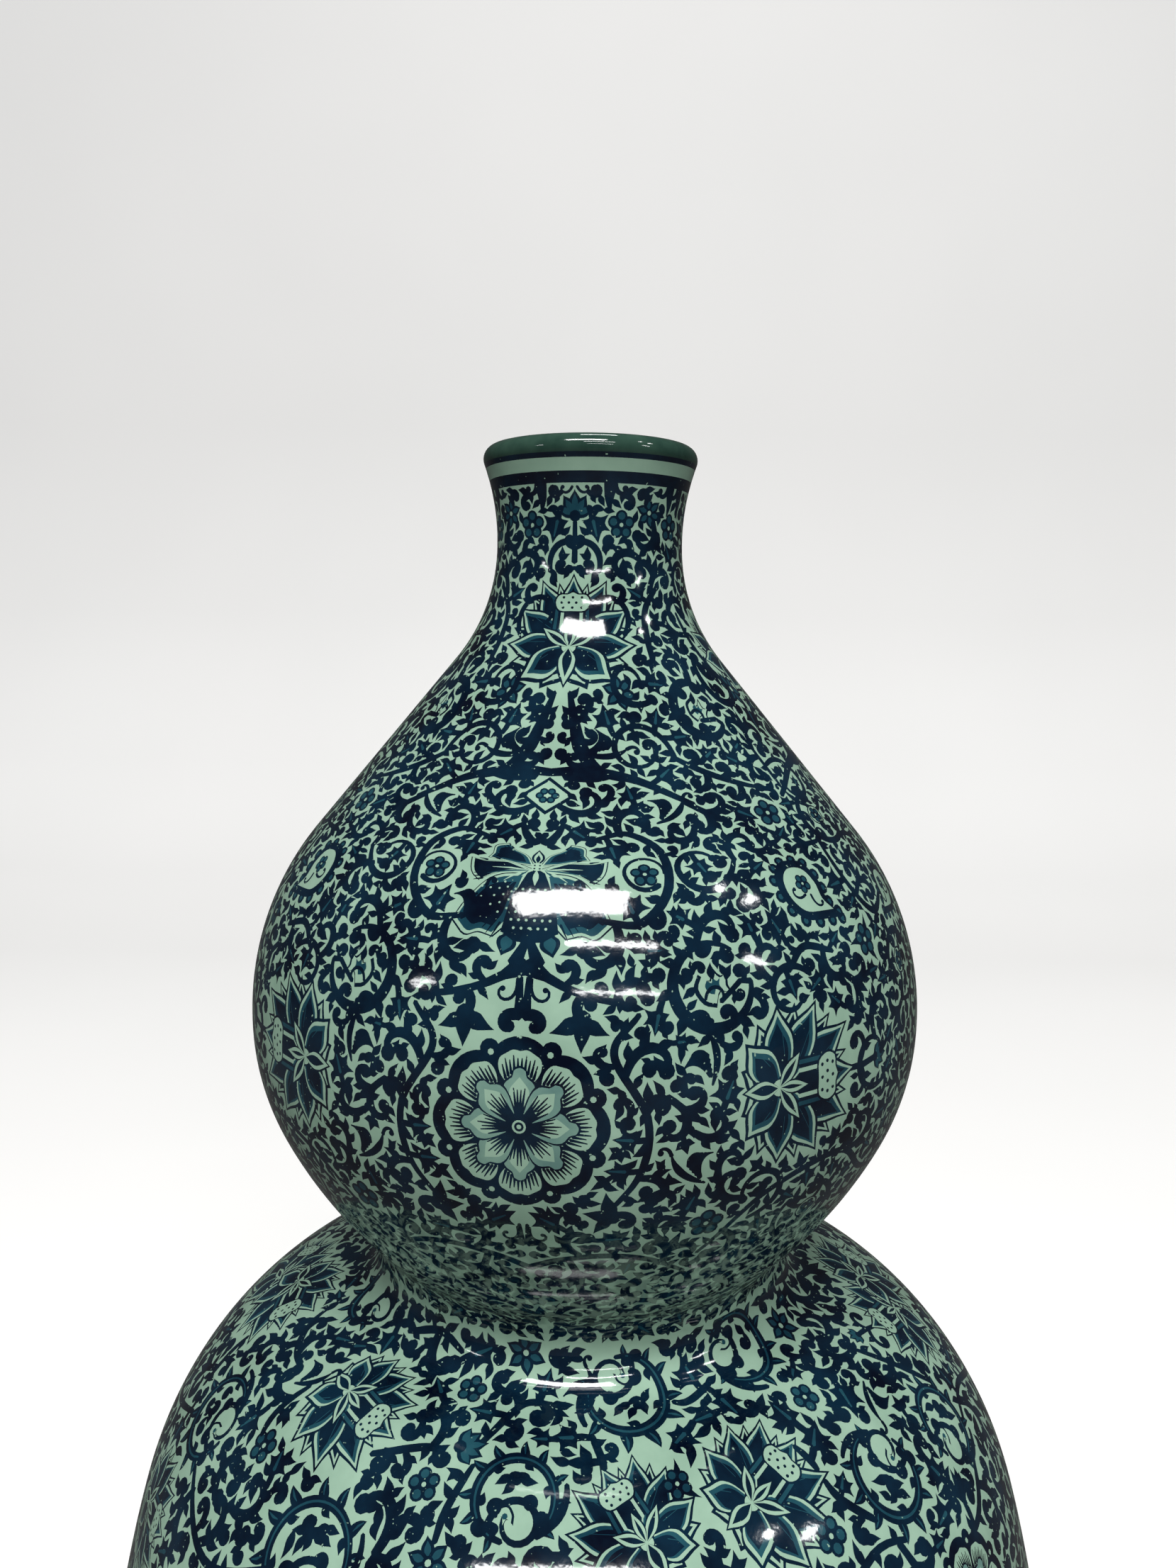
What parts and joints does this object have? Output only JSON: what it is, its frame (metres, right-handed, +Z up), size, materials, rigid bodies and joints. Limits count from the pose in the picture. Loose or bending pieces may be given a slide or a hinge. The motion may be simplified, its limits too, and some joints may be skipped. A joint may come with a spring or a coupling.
{
  "type": "double gourd vase",
  "caption": "Glazed ceramic flower vase in double gourd form: a small bulb over a large one, narrow flared neck, foot ring, painted scrolling lotus pattern.",
  "frame": {"origin": "centre of the circle on which the foot ring stands", "axes": "+Z up along the vase's axis, towards the mouth; +X to the right and -Y towards the viewer of the picture"},
  "size_m": [0.1898, 0.1898, 0.3527],
  "materials": {
    "painted_glaze": "glossy transparent glaze over a pale celadon ground, painted in navy and teal blue with dense scrolling lotus, small flowers and leaves",
    "clear_glaze": "glossy pale celadon glaze",
    "fired_clay": "matt, fired buff clay, unglazed",
    "luting_slip": "matt, fired joining slip"
  },
  "bodies": {
    "root": {"foot_ring": "fired_clay", "foot_slip": "luting_slip", "base_glaze": "clear_glaze", "lower_bulb_bowl": "fired_clay", "lower_belly_slip": "luting_slip", "lower_bulb_shoulder": "fired_clay", "waist_slip": "luting_slip", "upper_bulb_bowl": "fired_clay", "upper_belly_slip": "luting_slip", "upper_bulb_shoulder": "fired_clay", "neck_slip": "luting_slip", "neck_and_lip": "fired_clay", "outer_glaze": "painted_glaze", "inner_glaze": "clear_glaze"}
  },
  "joints": []
}
